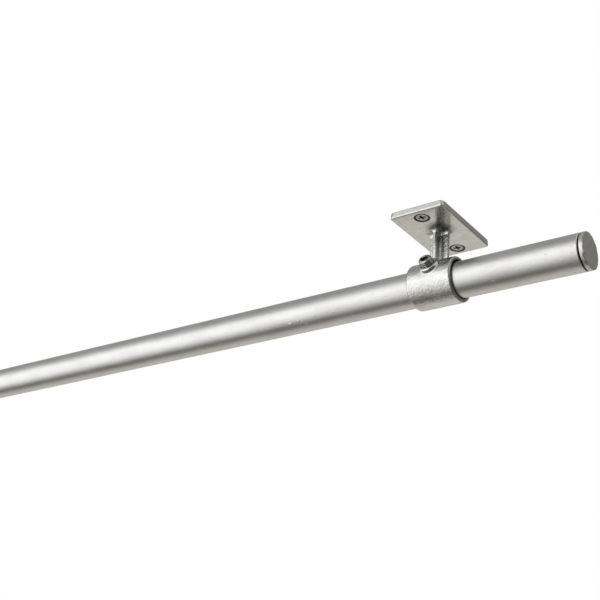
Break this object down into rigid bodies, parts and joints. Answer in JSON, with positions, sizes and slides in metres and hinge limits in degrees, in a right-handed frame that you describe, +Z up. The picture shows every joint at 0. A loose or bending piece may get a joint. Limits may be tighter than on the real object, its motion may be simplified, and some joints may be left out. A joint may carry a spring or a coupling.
{
  "type": "curtain rod with ceiling brackets",
  "caption": "Straight round galvanised tube hung from a ceiling by cast brackets whose collars clamp it with set screws, closed at the ends by flat plugs.",
  "frame": {"origin": "in the ceiling's face, midway between the brackets, at the centre of the fixing screws' rectangle", "axes": "+X along the tube, +Z up into the ceiling; the set screws face -Y"},
  "size_m": [1.0006, 0.071, 0.099],
  "materials": {
    "galvanised_tube": "hot-dip galvanised steel tube, smooth, satin, light grey, with faint mottling and small marks",
    "zinc_plug": "dull zinc-coated steel, flat face, slightly hammered rim",
    "cast_bracket": "galvanised malleable casting, rough and finely pitted",
    "set_screw_steel": "zinc-plated steel thread with a hexagon socket",
    "wood_screw_steel": "zinc-plated steel, dulled, with a cross recess"
  },
  "bodies": {
    "brackets": {"bracket_left": "cast_bracket", "bracket_right": "cast_bracket", "fixing_screw_left_front": "wood_screw_steel", "fixing_screw_left_rear": "wood_screw_steel", "fixing_screw_right_front": "wood_screw_steel", "fixing_screw_right_rear": "wood_screw_steel"},
    "rod": {"tube": "galvanised_tube", "end_plug_left": "zinc_plug", "end_plug_right": "zinc_plug"},
    "set_screw_left": {"set_screw_left": "set_screw_steel"},
    "set_screw_right": {"set_screw_right": "set_screw_steel"}
  },
  "joints": [
    {"name": "rod_slide", "type": "slide", "parent": "brackets", "child": "rod", "axis": [1, 0, 0], "range_m": [-0.09, 0.09]},
    {"name": "set_screw_left_travel", "type": "slide", "parent": "brackets", "child": "set_screw_left", "axis": [0, -0.8829, 0.4695], "range_m": [0, 0.003]},
    {"name": "set_screw_right_travel", "type": "slide", "parent": "brackets", "child": "set_screw_right", "axis": [0, -0.8829, 0.4695], "range_m": [0, 0.003]}
  ]
}
